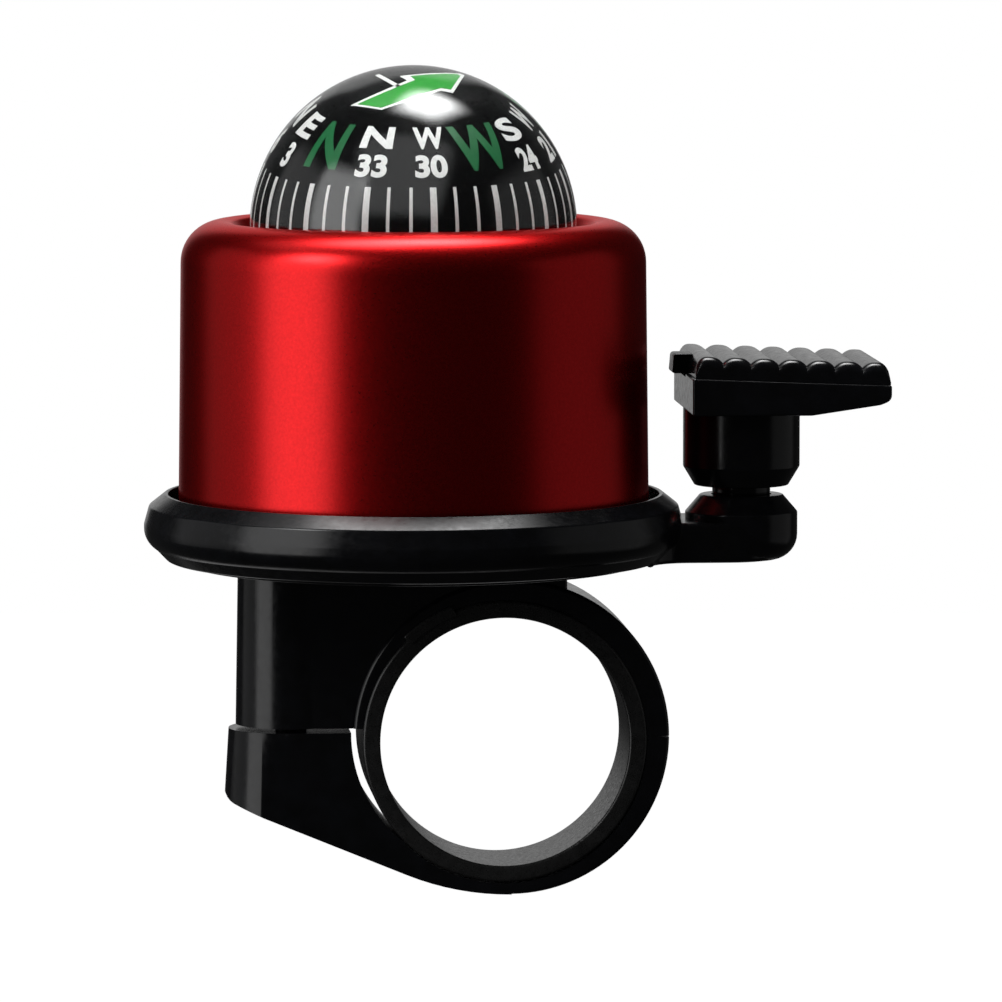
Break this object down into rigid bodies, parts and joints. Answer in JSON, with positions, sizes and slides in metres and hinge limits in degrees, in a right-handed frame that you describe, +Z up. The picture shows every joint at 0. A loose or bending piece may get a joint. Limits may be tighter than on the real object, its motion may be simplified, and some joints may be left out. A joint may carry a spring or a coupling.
{
  "type": "bicycle bell",
  "caption": "Thumb-struck handlebar bell: a red aluminium cup with a dome compass in its top, on a black plastic base with a band clamp.",
  "frame": {"origin": "centre of the handlebar bore, at the middle of the clamp band's width", "axes": "+Z up along the bell's axis, +Y along the handlebar, +X towards the thumb lever"},
  "size_m": [0.0659, 0.048, 0.0737],
  "materials": {
    "black_plastic": "satin moulded",
    "black_rubber": "matt",
    "foam": "matt foam tape",
    "steel": "zinc plated",
    "black_steel": "black oxide",
    "brass": "turned",
    "red_anodised_aluminium": "satin anodised",
    "clear_dome": "polished clear acrylic",
    "card_black": "printed card",
    "jewel": "polished",
    "magnet": "sintered"
  },
  "bodies": {
    "base": {"base_moulding": "black_plastic", "clamp_liner": "black_rubber", "clamp_nut": "steel", "bell_cup": "red_anodised_aluminium", "bell_grommet": "black_rubber", "bell_washer": "steel", "bell_screw": "steel", "post_insert": "brass", "adhesive_ring": "foam", "compass_base": "black_plastic", "compass_seal": "black_rubber", "compass_dome": "clear_dome", "pivot_needle": "steel", "striker_spring": "steel", "lower_spring_pin": "steel"},
    "lever": {"lever_body": "black_plastic", "thumb_cap": "black_plastic", "striker_hammer": "black_steel", "upper_spring_pin": "steel"},
    "card": {"compass_card": "card_black", "card_float": "card_black", "pivot_jewel": "jewel", "card_magnet": "magnet"},
    "strap": {"clamp_strap": "black_plastic"},
    "screw_washer": {"clamp_washer": "steel"},
    "clamp_screw": {"clamp_screw": "steel"}
  },
  "joints": [
    {"name": "lever_tilt", "type": "hinge", "parent": "base", "child": "lever", "pos_m": [0.0216, 0, 0.022], "axis": [0, 1, 0], "range_deg": [-10.5, 12.5], "stiffness_Nm_per_rad": 0.1, "deforming": ["striker_spring"]},
    {"name": "card_spin", "type": "hinge", "parent": "base", "child": "card", "pos_m": [-0.00777, 0, 0.0454], "axis": [0, 0, 1], "continuous": true},
    {"name": "clamp_screw_travel", "type": "slide", "parent": "base", "child": "screw_washer", "axis": [0, 0, -1], "range_m": [-0.00025, 0.002]},
    {"name": "clamp_screw_turn", "type": "hinge", "parent": "screw_washer", "child": "clamp_screw", "pos_m": [-0.0188, 0, -0.002], "axis": [0, 0, -1], "range_deg": [-180.5, 1440.5]},
    {"name": "strap_flex", "type": "hinge", "parent": "base", "child": "strap", "pos_m": [0.0134, 0, 0.0004], "axis": [0, -1, 0], "range_deg": [-0.43, 3.41]}
  ],
  "couplings": [
    {"joint": "clamp_screw_turn", "follows": "clamp_screw_travel", "rad_per_m": 12566},
    {"joint": "strap_flex", "follows": "clamp_screw_travel", "rad_per_m": 29.671}
  ]
}
